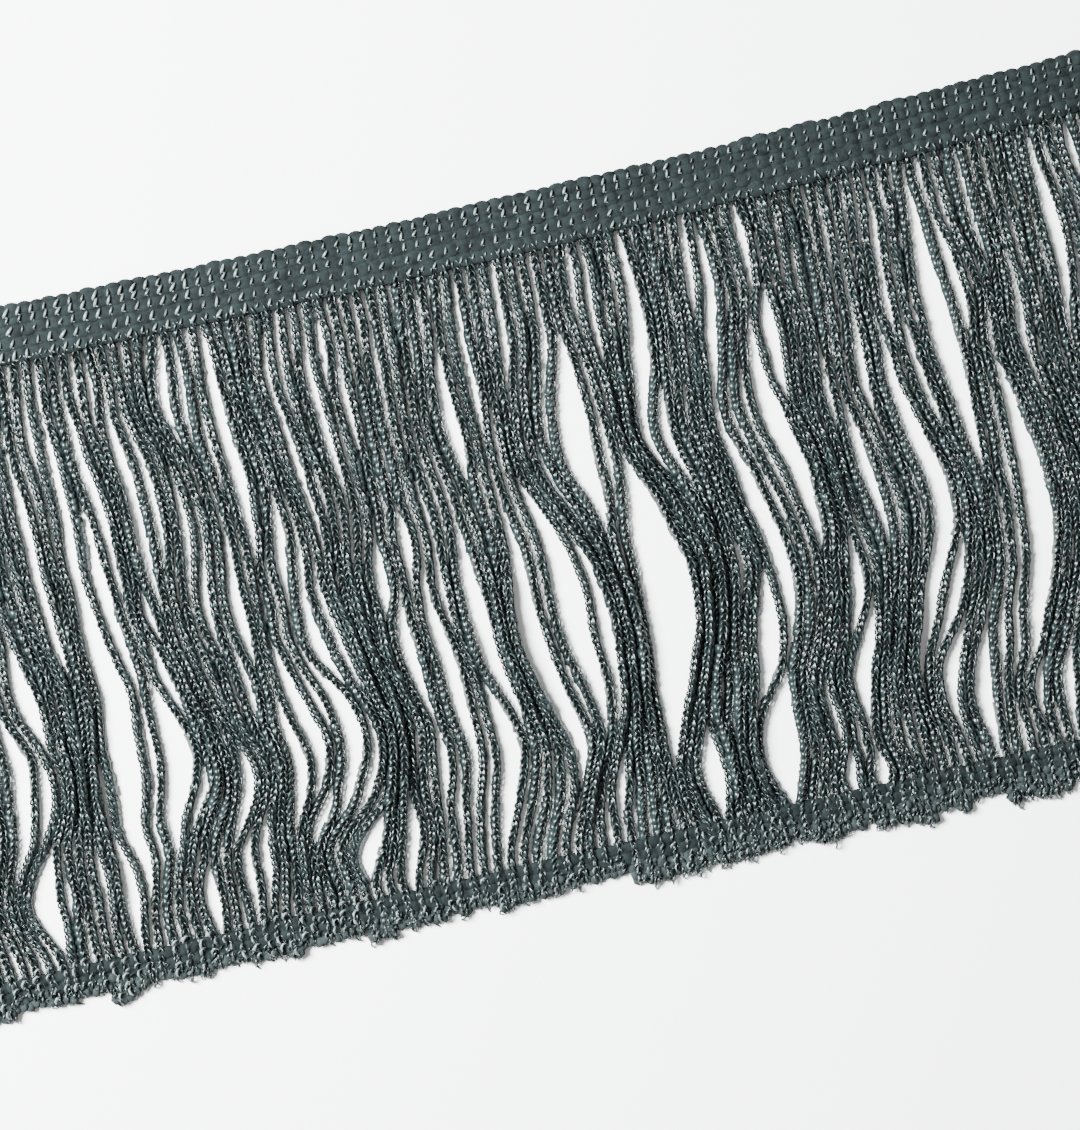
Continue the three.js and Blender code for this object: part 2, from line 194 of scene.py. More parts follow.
def spread(row, rounds=60):
    """Pushes strands apart until none is closer than the closest that cords lie."""
    for _ in range(rounds):
        for i in range(len(row) - 1):
            lack = CLOSEST - (row[i + 1] - row[i])
            if lack > 0:
                row[i] -= lack / 2
                row[i + 1] += lack / 2
    return row


# %% All strand places and heights down the drop
FIRST_DROP, LAST_DROP, DROP_STEP = 6, 108, 0.8
SQUASH, EASE_POINTS = 0.9, 9
drops = np.arange(FIRST_DROP, LAST_DROP, DROP_STEP)
places = np.array([strand_row(drop) for drop in drops])


def crowd_lifts():
    """How far every second strand rides up, in millimetres, eased along the drop."""
    gaps = np.diff(places, axis=1) * PITCH
    wide = np.full((len(drops), 1), 2 * CORD)
    nearest = np.minimum(np.hstack([wide, gaps]), np.hstack([gaps, wide]))
    touch = SQUASH * CORD
    lift = np.sqrt(np.clip(touch ** 2 - nearest ** 2, 0, None))
    lift[:, ::2] = 0
    ease = np.hanning(EASE_POINTS) / np.hanning(EASE_POINTS).sum()
    return np.array([np.convolve(column, ease, mode="same") for column in lift.T]).T


lifts = crowd_lifts()
print("strand grid:", places.shape, "highest lift in mm:", round(float(lifts.max()), 2))

# %% [markdown]
# One node helper serves the shader trees and the Geometry Nodes tree.
# Colours are written as the sRGB hex values that a picture editor shows, and turned to linear light here.

# %% Helpers for nodes and colours


def add(tree, kind, links=None, **settings):
    """Adds a node; links gives each input a value or another node's output."""
    made = tree.nodes.new(kind)
    for name, value in settings.items():
        setattr(made, name, value)
    for name, source in (links or {}).items():
        if isinstance(source, bpy.types.NodeSocket):
            tree.links.new(source, made.inputs[name])
        else:
            made.inputs[name].default_value = source
    return made


def linear(hex_colour):
    """A linear RGBA colour from an sRGB hex value."""
    channels = [int(hex_colour[i:i + 2], 16) / 255 for i in (1, 3, 5)]
    return (*[c / 12.92 if c <= 0.04045 else ((c + 0.055) / 1.055) ** 2.4 for c in channels], 1)


# %% [markdown]
# Chainette is chained from viscose rayon filament yarn, dyed black.
# Continuous filaments lie side by side, so each leg of a stitch is smooth and throws a bright glint,
# while the hollows between the legs stay almost black.
# The cord laid into the heading is the same black yarn, pulled flat, with broader glints; its finish is dyed
# a lighter grey, which is painted sheen standing in for those glints.
# A real filament is about 0.02 mm thick, too fine to show, so one drawn band stands for about ten.

# %% Finish: black viscose rayon filament
LEG_RADIUS, FILAMENT_BAND, FILAMENT_RELIEF = 0.20, 0.1974, 0.03
# A wave texture of scale 1 repeats after this much of the UV map, which spans one girth of a leg.
WAVE_REPEAT = 2 * math.pi / 20
RAYON_IOR = 1.53
FILAMENT_SCALE = 2 * math.pi * LEG_RADIUS / FILAMENT_BAND * WAVE_REPEAT


def make_rayon(name, darkest, lightest, roughness):
    """Smooth filament yarn: each stitch has its own depth of dye, and fine bands run along its legs."""
    material = bpy.data.materials.new(name)
    material.use_nodes = True
    tree = material.node_tree
    shader = tree.nodes["Principled BSDF"]
    tone = add(tree, "ShaderNodeAttribute", attribute_name="tone")
    dye = add(tree, "ShaderNodeValToRGB", {"Fac": tone.outputs["Fac"]})
    dye.color_ramp.elements[0].color = linear(darkest)
    dye.color_ramp.elements[1].color = linear(lightest)
    around = add(tree, "ShaderNodeUVMap", uv_map="UVMap")
    filaments = add(tree, "ShaderNodeTexWave", {
        "Vector": around.outputs["UV"], "Scale": FILAMENT_SCALE, "Distortion": 1.5},
        wave_type="BANDS", bands_direction="X")
    bump = add(tree, "ShaderNodeBump", {
        "Height": filaments.outputs["Fac"], "Strength": 0.4, "Distance": FILAMENT_RELIEF * MM})
    tree.links.new(dye.outputs["Color"], shader.inputs["Base Color"])
    tree.links.new(bump.outputs["Normal"], shader.inputs["Normal"])
    shader.inputs["Roughness"].default_value = roughness
    shader.inputs["IOR"].default_value = RAYON_IOR
    shader.inputs["Specular IOR Level"].default_value = 0.5
    return material


rayon = make_rayon("black_viscose_rayon", "#0b1213", "#1b2425", 0.33)
# The lighter grey ramp of the laid-in cord is painted sheen: the real cord is as black as the strands.
laid_in_rayon_painted_sheen = make_rayon("laid_in_viscose_rayon_painted_sheen", "#1e2424", "#5c6565", 0.36)
print("finishes:", rayon.name, laid_in_rayon_painted_sheen.name, "wave scale", round(FILAMENT_SCALE, 2))

# %% [markdown]
# The heading and the holding band are knitted with a spun yarn, which has short fibres standing off it.
# That gives the eye a matte black without glints, faintly mottled.
# The cut ends of the rayon look matte too, because their filaments stand in all directions.
# Such fibres are about 0.015 mm thick, too fine to show, so their fuzz is drawn coarser.

# %% Finish: matte spun knitting yarn and cut ends
MOTTLE, FUZZ, FUZZ_RELIEF = 1.2, 0.4, 0.1


def make_matte(name, darkest, lightest, gloss):
    """Fuzzy yarn: a rough bump breaks up all glints, and the dye varies from place to place."""
    material = bpy.data.materials.new(name)
    material.use_nodes = True
    tree = material.node_tree
    shader = tree.nodes["Principled BSDF"]
    where = add(tree, "ShaderNodeTexCoord")
    mottle = add(tree, "ShaderNodeTexNoise", {
        "Vector": where.outputs["Object"], "Scale": 1 / (MOTTLE * MM), "Detail": 4.0})
    dye = add(tree, "ShaderNodeValToRGB", {"Fac": mottle.outputs["Fac"]})
    dye.color_ramp.elements[0].color = linear(darkest)
    dye.color_ramp.elements[0].position = 0.3
    dye.color_ramp.elements[1].color = linear(lightest)
    dye.color_ramp.elements[1].position = 0.7
    fibres = add(tree, "ShaderNodeTexNoise", {
        "Vector": where.outputs["Object"], "Scale": 1 / (FUZZ * MM), "Detail": 3.0})
    bump = add(tree, "ShaderNodeBump", {
        "Height": fibres.outputs["Fac"], "Strength": 0.8, "Distance": FUZZ_RELIEF * MM})
    tree.links.new(dye.outputs["Color"], shader.inputs["Base Color"])
    tree.links.new(bump.outputs["Normal"], shader.inputs["Normal"])
    shader.inputs["Roughness"].default_value = 0.85
    shader.inputs["Specular IOR Level"].default_value = gloss
    return material


spun_yarn = make_matte("black_spun_polyester", "#030607", "#141b1c", 0.15)
cut_rayon = make_matte("cut_viscose_rayon", "#0c1314", "#1c2526", 0.35)
print("finishes:", spun_yarn.name, cut_rayon.name)

# %% [markdown]
# Every stitch is built from legs: short tapered tubes with a few sides.
# A leg is a list of points across, along and up from the middle of its stitch, each with a radius.
# The legs carry a UV map, around and along, so the filaments can follow them.
# The sides of a leg are set out from one direction that lies aslant to every leg.

# %% Stitch meshes
ASLANT = Vector((0.31, 1, 0.17))


def leg(points, sides, flat):
    """Vertices, faces and UVs of one closed tapered tube; a point is across, along, up, radius."""
    middle = [Vector((across, -up, along)) for across, along, up, _ in points]
    verts, faces, uvs = [], [], []
    for j, centre in enumerate(middle):
        ahead = (middle[min(j + 1, len(middle) - 1)] - middle[max(j - 1, 0)]).normalized()
        side = ahead.cross(ASLANT).normalized()
        other = ahead.cross(side)
        for k in range(sides):
            turn = 2 * math.pi * (k + 0.5) / sides
            out = (side * math.cos(turn) + other * math.sin(turn)) * points[j][3]
            out.y *= flat
            verts.append((centre + out) * MM)
    for j in range(len(points) - 1):
        for k in range(sides):
            after = (k + 1) % sides
            faces.append((j * sides + k, j * sides + after, (j + 1) * sides + after, (j + 1) * sides + k))
            u0, u1 = k / sides, (k + 1) / sides
            v0, v1 = j / (len(points) - 1), (j + 1) / (len(points) - 1)
            uvs.append([(u0, v0), (u1, v0), (u1, v1), (u0, v1)])
    last = (len(points) - 1) * sides
    faces.append(tuple(reversed(range(sides))))
    faces.append(tuple(range(last, last + sides)))
    uvs.extend([[(0.5, 0)] * sides, [(0.5, 1)] * sides])
    return verts, faces, uvs


def make_stitch(name, legs, sides=4, flat=1.0):
    """One object with all the legs of a stitch, for the tree to copy; it is removed after its use."""
    verts, faces, uvs = [], [], []
    for points in legs:
        new_verts, new_faces, new_uvs = leg(points, sides, flat)
        faces.extend(tuple(index + len(verts) for index in face) for face in new_faces)
        verts.extend(new_verts)
        uvs.extend(new_uvs)
    mesh = bpy.data.meshes.new(name)
    mesh.from_pydata(verts, [], faces)
    layer = mesh.uv_layers.new(name="UVMap")
    corners = [corner for face in uvs for corner in face]
    for loop, corner in enumerate(corners):
        layer.data[loop].uv = corner
    mesh.polygons.foreach_set("use_smooth", [True] * len(mesh.polygons))
    mesh.update()
    made = bpy.data.objects.new(name, mesh)
    bpy.context.scene.collection.objects.link(made)
    return made


def mirrored(points):
    """The same leg on the other side of the stitch."""
    return [(-across, along, up, radius) for across, along, up, radius in points]


# %% [markdown]
# A strand is a chain: every stitch shows two legs that leave the one before it close together and part.
# Under the legs lies the back of the chain, so a wide core closes the stitch and no floor shows through.

# %% The chain stitch of a strand
CHAIN_PITCH = 0.95
chain_leg = [(.06, -.62, .38, .08), (.35, -.20, .52, .17), (.50, .32, .30, .20), (.20, .92, .0, .10)]
chain_core = [(0, -.62, -.36, .66), (0, .62, -.36, .66)]
chain_stitch = make_stitch("chain_stitch", [chain_leg, mirrored(chain_leg), chain_core])
print("chain stitch:", len(chain_stitch.data.polygons), "faces")

# %% [markdown]
# A Geometry Nodes tree sets stitches along paths.
# It takes the paths from a curve object, evens out their points to the stitch pitch, puts a stitch on each
# point, turned along the path, and stores a random tone on each for the dye of the rayon to vary by.
# An array with a curve modifier could do it too, but it would stretch the stitches and repeat each alike.

# %% The tree that sets stitches along a path


def make_stitch_tree():
    """Paths and a stitch go in, with their pitch and how much they vary; a mesh comes out."""
    tree = bpy.data.node_groups.new("stitches_along_paths", "GeometryNodeTree")
    sockets = tree.interface
    sockets.new_socket("Geometry", in_out="OUTPUT", socket_type="NodeSocketGeometry")
    for name, kind in (("Paths", "Object"), ("Stitch", "Object"), ("Pitch", "Float"),
                       ("Unevenness", "Float"), ("Wobble", "Float"), ("Seed", "Int"), ("Yarn", "Material")):
        sockets.new_socket(name, in_out="INPUT", socket_type="NodeSocket" + kind)
    given = add(tree, "NodeGroupInput").outputs
    paths = add(tree, "GeometryNodeObjectInfo", {"Object": given["Paths"]}, transform_space="ORIGINAL")
    stitch = add(tree, "GeometryNodeObjectInfo", {"Object": given["Stitch"], "As Instance": True})
    even = add(tree, "GeometryNodeResampleCurve", {
        "Curve": paths.outputs["Geometry"], "Length": given["Pitch"]}, mode="LENGTH")
    points = add(tree, "GeometryNodeCurveToPoints", {"Curve": even.outputs["Curve"]}, mode="EVALUATED")
    least = add(tree, "ShaderNodeMath", {0: 1.0, 1: given["Unevenness"]}, operation="SUBTRACT")
    most = add(tree, "ShaderNodeMath", {0: 1.0, 1: given["Unevenness"]}, operation="ADD")
    size = add(tree, "FunctionNodeRandomValue", {
        2: least.outputs[0], 3: most.outputs[0], "Seed": given["Seed"]})
    lean = add(tree, "FunctionNodeRandomValue", {
        0: (-1, -1, -1), "Seed": given["Seed"]}, data_type="FLOAT_VECTOR")
    turn = add(tree, "ShaderNodeVectorMath", {
        0: lean.outputs[0], "Scale": given["Wobble"]}, operation="SCALE")
    turned = add(tree, "FunctionNodeRotateRotation", {
        "Rotation": points.outputs["Rotation"], "Rotate By": turn.outputs[0]}, rotation_space="LOCAL")
    placed = add(tree, "GeometryNodeInstanceOnPoints", {
        "Points": points.outputs["Points"], "Instance": stitch.outputs["Geometry"],
        "Rotation": turned.outputs["Rotation"], "Scale": size.outputs[1]})
    tone = add(tree, "FunctionNodeRandomValue", {"Seed": given["Seed"]})
    toned = add(tree, "GeometryNodeStoreNamedAttribute", {
        "Geometry": placed.outputs["Instances"], "Name": "tone", "Value": tone.outputs[1]},
        domain="INSTANCE")
    real = add(tree, "GeometryNodeRealizeInstances", {"Geometry": toned.outputs["Geometry"]})
    dressed = add(tree, "GeometryNodeSetMaterial", {
        "Geometry": real.outputs["Geometry"], "Material": given["Yarn"]})
    add(tree, "NodeGroupOutput", {"Geometry": dressed.outputs["Geometry"]})
    return tree


stitch_tree = make_stitch_tree()
print("tree inputs:", [item.name for item in stitch_tree.interface.items_tree if item.in_out == "INPUT"])

# %% [markdown]
# A piece is made in three steps: a curve object takes the paths, the tree sets the stitches on a host,
# and the result is kept as a plain mesh, so that it can be exported as it is.
# Soft yarn flattens where it lies, so the lowest points are laid on the table.

# %% Paths and pieces
TABLE_SKIN = 0.02


def make_paths(name, runs):
    """A curve object with one open run for each list of (point, tilt)."""
    curve = bpy.data.curves.new(name, "CURVE")
    curve.dimensions = "3D"
    curve.twist_mode = "Z_UP"
    for run in runs:
        spline = curve.splines.new("POLY")
        spline.points.add(len(run) - 1)
        for point, (where, tilt) in zip(spline.points, run):
            point.co = (*where, 1)
            point.tilt = tilt
    made = bpy.data.objects.new(name, curve)
    bpy.context.scene.collection.objects.link(made)
    return made


def flatten_on_table(mesh):
    """Lifts every point that is below the table to just above it."""
    coords = np.empty(len(mesh.vertices) * 3)
    mesh.vertices.foreach_get("co", coords)
    coords[2::3] = np.maximum(coords[2::3], TABLE_SKIN * MM)
    mesh.vertices.foreach_set("co", coords)
    mesh.update()


def stitch_along(name, runs, stitch, pitch, unevenness, wobble, yarn, seed=SEED):
    """A plain mesh of stitches along the runs, made by the tree."""
    paths = make_paths(name + "_paths", runs)
    host = bpy.data.objects.new(name + "_host", bpy.data.meshes.new(name + "_host"))
    bpy.context.scene.collection.objects.link(host)
    modifier = host.modifiers.new("stitches", "NODES")
    modifier.node_group = stitch_tree
    values = {"Paths": paths, "Stitch": stitch, "Pitch": pitch * MM, "Unevenness": unevenness,
              "Wobble": wobble, "Seed": seed, "Yarn": yarn}
    for item in stitch_tree.interface.items_tree:
        if item.in_out == "INPUT":
            modifier[item.identifier] = values[item.name]
    graph = bpy.context.evaluated_depsgraph_get()
    mesh = bpy.data.meshes.new_from_object(host.evaluated_get(graph), preserve_all_data_layers=True,
                                           depsgraph=graph)
    host.modifiers.remove(modifier)
    for helper in (host, paths):
        bpy.data.objects.remove(helper)
    mesh.name = name
    flatten_on_table(mesh)
    piece = bpy.data.objects.new(name, mesh)
    bpy.context.scene.collection.objects.link(piece)
    triangles = sum(len(polygon.vertices) - 2 for polygon in mesh.polygons)
    print(name, len(runs), "runs,", triangles, "triangles")
    return piece


# %% [markdown]
# The cut ends decide where each strand stops.
# Shears leave the ends in clumps of two or three strands, so one random length is shared by each clump and
# every strand then adds a little of its own. The photo's ends are more ragged towards the right.

# %% Where each strand is cut
STUB_ENDS = {0: 102, 8: 102.3, 13: 103.5, 16: 102.2, 24: 102.2, 30: 103, 38: 104, 44: 102.6,
             49: 102.6, 53: 104.3, 62: 105, 76: 104.5, 100: 104.4}
STRANDS_A_CLUMP, CLUMP_REACH = 2.6, 1.2
STUB_RAGGED, RAGGED_GAIN, STUB_DRAWN_IN = 0.75, 0.6, 0.7
OWN_SHORTER, OWN_LONGER = 0.6, 0.5
draw = random.Random(SEED)


def stub_end(i, clump):
    """The drop of a cut end: near the table's line, in clumps of a few strands, each a little ragged."""
    line = float(np.interp(i, list(STUB_ENDS), list(STUB_ENDS.values())))
    ragged = STUB_RAGGED * (1 + RAGGED_GAIN * i / STRANDS)
    return line + (clump - STUB_DRAWN_IN + draw.uniform(-OWN_SHORTER, OWN_LONGER)) * ragged


clumps = [draw.uniform(-CLUMP_REACH, CLUMP_REACH) for _ in range(STRANDS)]
stub_ends = [stub_end(i, clumps[int(i / STRANDS_A_CLUMP)]) for i in range(STRANDS)]
print("cut ends at drops from", round(min(stub_ends), 1), "to", round(max(stub_ends), 1), "mm")

# %% [markdown]
# The strands: each cord leaves the heading, follows the waves and partings, passes through the holding band
# and ends in a short ragged stub.
# A curve could be drawn by hand for each, but the grid of places gives all of them at once.
# Cords roll as they lie and wander a little, so each run has its own slow turn and its own faint wave.

# %% Paths of the strands
ROOT_GRIP = 1.2
ROOT_RISE, ROOT_EASE = 0.45, 4.0
CORD_REST = 0.70
WANDER, WANDER_WAVES = 0.05, (9, 20)
ROLL, ROLL_WAVES = 0.5, (25, 60)
FULL_TURN = 2 * math.pi


def strand_run(i):
    """Points and tilts of one strand; its root climbs to the heading, so that it comes out over the edge."""
    root = heading_top(i + 0.5) + HEADING_WIDTH - ROOT_GRIP
    wave, phase = draw.uniform(*WANDER_WAVES), draw.uniform(0, FULL_TURN)
    roll, roll_wave = draw.uniform(-ROLL, ROLL), draw.uniform(*ROLL_WAVES)
    run = []
    for drop in np.arange(root, stub_ends[i], DROP_STEP):
        place = np.interp(drop, drops, places[:, i]) + WANDER * math.sin(drop / wave * FULL_TURN + phase)
        rise = ROOT_RISE * max(0, 1 - (drop - root) / ROOT_EASE)
        height = CORD_REST + rise + np.interp(drop, drops, lifts[:, i])
        tilt = roll + ROLL * math.sin(drop / roll_wave * FULL_TURN + phase)
        run.append((spot(place, drop, height), tilt))
    return run


strand_runs = [strand_run(i) for i in range(STRANDS)]
lengths = [sum((b[0] - a[0]).length for a, b in zip(run, run[1:])) / MM for run in strand_runs]
print("strand lengths in mm:", round(min(lengths), 1), "to", round(max(lengths), 1))
print("cord in all, in mm:", round(sum(lengths)))

# %% [markdown]
# Near the heading the knitting holds each cord a little flatter and wider, so the first stitches are spread.
# The rest of the strands is split into five pieces, which keeps each mesh small enough to export whole.

# %% Strands
STRANDS_A_PIECE = 20
ROOT_POINTS, ROOT_SPREAD = 22, 1.06
CHAIN_UNEVENNESS, CHAIN_WOBBLE = 0.1, 0.27
root_leg = [(across * ROOT_SPREAD, along, up, radius) for across, along, up, radius in chain_leg]
root_stitch = make_stitch("root_stitch", [root_leg, mirrored(root_leg), chain_core])
root_runs = [run[:ROOT_POINTS] for run in strand_runs]
strand_pieces = [stitch_along("strand_roots", root_runs, root_stitch, CHAIN_PITCH,
                              CHAIN_UNEVENNESS, CHAIN_WOBBLE, rayon)]
for first in range(0, STRANDS, STRANDS_A_PIECE):
    runs = [run[ROOT_POINTS - 1:] for run in strand_runs[first:first + STRANDS_A_PIECE]]
    name = f"strands_{first // STRANDS_A_PIECE + 1}"
    strand_pieces.append(stitch_along(name, runs, chain_stitch, CHAIN_PITCH,
                                      CHAIN_UNEVENNESS, CHAIN_WOBBLE, rayon, SEED + first))

# %% [markdown]
# The heading: five rows of fat, flat stitch in spun yarn, worked across the cords.
# A bump map could draw the rows on one strip, but it would leave a straight edge.
# Real stitches give the edge its small scallops, and their ends dip to the hollows where the loops lie.

# %% Heading stitches
PILLOW_RISE, PILLOW_SIDES = 0.24, 10


def pillow_stitch(name, height, scalloped):
    """One fat flat leg of spun yarn that fills its row; the edge row has an arch above it."""
    h = height / 2
    fat_leg = [(0, -1.20, -.34, .96 * h), (0, -.82, -.06, 1.16 * h), (0, -.30, .08, 1.28 * h),
               (0, .30, .08, 1.30 * h), (0, .78, -.06, 1.20 * h), (0, 1.15, -.32, 1.00 * h)]
    low_leg = [(.30 * h, along, up, .72 * radius) for _, along, up, radius in fat_leg]
    arch = [(-.26 * h, -1.10, -.10, .42 * h), (-.45 * h, -.66, .04, .55 * h), (-.56 * h, -.15, .10, .60 * h),
            (-.54 * h, .25, .10, .60 * h), (-.42 * h, .72, .02, .52 * h), (-.24 * h, 1.08, -.12, .40 * h)]
    legs = [low_leg, arch] if scalloped else [fat_leg]
    return make_stitch(name, legs, PILLOW_SIDES, PILLOW_RISE / h)


def row_run(top, offset, first, last, height, step=0.5):
    """A run along a row of the heading or the band."""
    spread_places = np.arange(first, last + step / 2, step)
    return [(spot(place, top(place) + offset, height), 0.0) for place in spread_places]


# %% Heading rows
ROW_EDGES = [-0.35, 1.45, 2.8, 4.55, 6.4, 8.2]
HEADING_LIFT = 1.3
EDGE_ROWS = (1, 5)
EDGE_UNEVENNESS, INNER_UNEVENNESS = 0.16, 0.06
SCALLOP_WOBBLE, ROW_WOBBLE = 0.2, 0.1
heading_pieces = []
for number, (upper, lower) in enumerate(zip(ROW_EDGES, ROW_EDGES[1:]), start=1):
    scalloped = number == 1
    stitch = pillow_stitch(f"pillow_stitch_{number}", lower - upper, scalloped)
    run = row_run(heading_top, (upper + lower) / 2, 0.5, STRANDS - 0.5, HEADING_LIFT)
    unevenness = EDGE_UNEVENNESS if number in EDGE_ROWS else INNER_UNEVENNESS
    wobble = SCALLOP_WOBBLE if scalloped else ROW_WOBBLE
    heading_pieces.append(stitch_along(f"heading_row_{number}", [run], stitch, PITCH, unevenness, wobble,
                                       spun_yarn, SEED + number))
    bpy.data.objects.remove(stitch)

# %% [markdown]
# In the hollows between the stitches a loop of the laid-in cord comes to the face, as a bright slanting
# fleck with a short foot. Its brightness is partly real glint and partly painted sheen in its lighter grey
# colour.
# It is a stitch mesh too, so the same tree sets it, one for each column in every row.
# The photo shows them larger at the left than at the right, so they come in three sizes.

# %% Flecks of shiny cord in the heading
FLECK_ROWS = [0.9, 2.0, 3.6, 5.5, 7.3]
FLECK_LIFT = HEADING_LIFT + 0.1
FLECK_UNEVENNESS, FLECK_WOBBLE = 0.18, 0.28
# First strand, last strand and size of the loops between them.
LOOP_SIZES = [(0, 33, 1.25), (33, 67, 1.02), (67, STRANDS, 0.84)]
LOOP_SIDES, LOOP_FLATNESS = 6, 0.7
fleck_loop = [(-.52, .30, .12, .05), (-.28, .18, .38, .14), (.02, .02, .44, .18), (.30, -.14, .38, .17),
              (.46, -.24, .18, .07)]
fleck_foot = [(.34, -.16, .28, .06), (.44, .06, .34, .09), (.54, .32, .14, .04)]


def sized_loop(name, legs, size):
    """A loop of shiny cord, larger or smaller than the usual one."""
    scaled = [[(across * size, along * size, up, radius * size) for across, along, up, radius in points]
              for points in legs]
    return make_stitch(name, scaled, LOOP_SIDES, LOOP_FLATNESS)


heading_flecks = []
for number, (first, last, size) in enumerate(LOOP_SIZES, start=1):
    fleck = sized_loop(f"fleck_{number}", [fleck_loop, fleck_foot], size)
    runs = [row_run(heading_top, offset, max(first, 1), last - 1, FLECK_LIFT) for offset in FLECK_ROWS]
    heading_flecks.append(stitch_along(f"heading_flecks_{number}", runs, fleck, PITCH, FLECK_UNEVENNESS,
                                       FLECK_WOBBLE, laid_in_rayon_painted_sheen, SEED + number))
    bpy.data.objects.remove(fleck)

# %% [markdown]
# Behind the stitches the real heading is a closed knitted ground, so no light comes through between them.
# It is never seen by itself, so one thin closed strip with softened edges stands for it.

# %% Ground of the heading
GROUND_INSET, GROUND_STEPS = 0.35, 80
GROUND_SHORT, GROUND_END, GROUND_LOW = 0.7, 0.1, 0.1
HEADING_GROUND_TOP = 1.5


def ground_strip(name, top, width, first, last, high, yarn):
    """A thin closed strip with softened long edges, from just above the table to a height."""
    low, inset = GROUND_LOW, GROUND_INSET
    section = [(0, low + inset), (inset, low), (width - inset, low), (width, low + inset),
               (width, high - inset), (width - inset, high), (inset, high), (0, high - inset)]
    verts, faces = [], []
    for j in range(GROUND_STEPS + 1):
        place = first + (last - first) * j / GROUND_STEPS
        verts.extend(spot(place, top(place) + across, height) for across, height in section)
    n = len(section)
    for j in range(GROUND_STEPS):
        for k in range(n):
            after = (k + 1) % n
            faces.append((j * n + k, (j + 1) * n + k, (j + 1) * n + after, j * n + after))
    faces.append(tuple(range(n)))
    faces.append(tuple(reversed(range(GROUND_STEPS * n, GROUND_STEPS * n + n))))
    mesh = bpy.data.meshes.new(name)
    mesh.from_pydata(verts, [], faces)
    mesh.materials.append(yarn)
    mesh.update()
    piece = bpy.data.objects.new(name, mesh)
    bpy.context.scene.collection.objects.link(piece)
    print(name, len(faces), "faces")
    return piece


heading_ground = ground_strip("heading_ground", heading_top, HEADING_WIDTH - GROUND_SHORT, GROUND_END,
                              STRANDS - GROUND_END, HEADING_GROUND_TOP, spun_yarn)

# %% [markdown]
# The holding band: two rows of the same spun stitch, worked across the cords near their cut ends.
# It is set low, so that the chains of the cords stand up through it and the band blends in with them.

# %% Holding band
BAND_ROWS = [0.8, 2.4]
BAND_LIFT = 0.8
BAND_PAST_STRAND, BAND_END = 0.45, 0.5
BAND_UNEVENNESS, BAND_WOBBLE = 0.1, 0.16
band_row = strand_row(BAND_DROP)
band_first, band_last = band_row[0] - BAND_PAST_STRAND, band_row[-1] + BAND_PAST_STRAND
band_stitch = pillow_stitch("band_stitch", BAND_ROWS[1] - BAND_ROWS[0], scalloped=False)
band_runs = [row_run(band_top, offset, band_first + BAND_END, band_last - BAND_END, BAND_LIFT)
             for offset in BAND_ROWS]
holding_band = stitch_along("holding_band_rows", band_runs, band_stitch, PITCH, BAND_UNEVENNESS, BAND_WOBBLE,
                            spun_yarn)

# %% [markdown]
# The cut ends: below the band each cord is cut, so its last chain comes undone and swells to a matte tuft.
# Hair could be grown there, but loose filaments of this size would not show, so a tuft is a fat soft stitch.
# The tufts crowd against each other, and a strip behind them closes the small holes that are left.

# %% Tufts at the cut ends
TUFT_PITCH, TUFT_LIFT, TUFT_SWAY = 0.85, 0.74, 0.12
TUFT_BELOW_BAND, TUFT_SHORT = 3.0, 0.5
TUFT_UNEVENNESS, TUFT_WOBBLE = 0.18, 0.3
TUFT_SIDES, TUFT_FLATNESS = 6, 0.42
END_POINTS = 4
tuft_leg = [(.30, -.74, -.10, .28), (.50, -.28, .06, .70), (.54, .26, .06, .72), (.34, .76, -.10, .30)]
tuft_stitch = make_stitch("tuft_stitch", [tuft_leg, mirrored(tuft_leg)], TUFT_SIDES, TUFT_FLATNESS)


def end_run(i, top, bottom, height, sway):
    """A run down the last part of one strand, between two drops."""
    run = []
    for drop in np.linspace(top, max(bottom, top + TUFT_PITCH), END_POINTS):
        place = np.interp(drop, drops, places[:, i]) + draw.uniform(-sway, sway)
        run.append((spot(place, drop, height), 0.0))
    return run


tuft_runs = [end_run(i, band_top(i) + TUFT_BELOW_BAND, stub_ends[i] - TUFT_SHORT, TUFT_LIFT, TUFT_SWAY)
             for i in range(STRANDS)]
tufts = stitch_along("cut_tufts", tuft_runs, tuft_stitch, TUFT_PITCH, TUFT_UNEVENNESS, TUFT_WOBBLE,
                     cut_rayon)

# %% Strip behind the tufts
STRIP_BELOW_BAND, STRIP_WIDTH, STRIP_TOP, STRIP_END = 2.5, 2.0, 0.85, 0.3


def strip_top(place):
    """The drop of the upper edge of the strip."""
    return band_top(place) + STRIP_BELOW_BAND


tuft_ground = ground_strip("cut_end_ground", strip_top, STRIP_WIDTH, band_first + STRIP_END,
                           band_last - STRIP_END, STRIP_TOP, cut_rayon)

# %% [markdown]
# From the band down to the cut, loops of filament still shine on the cords as small hooks; their lighter
# grey colour is painted sheen, as on the flecks.
# They come in the same three sizes as the flecks of the heading.

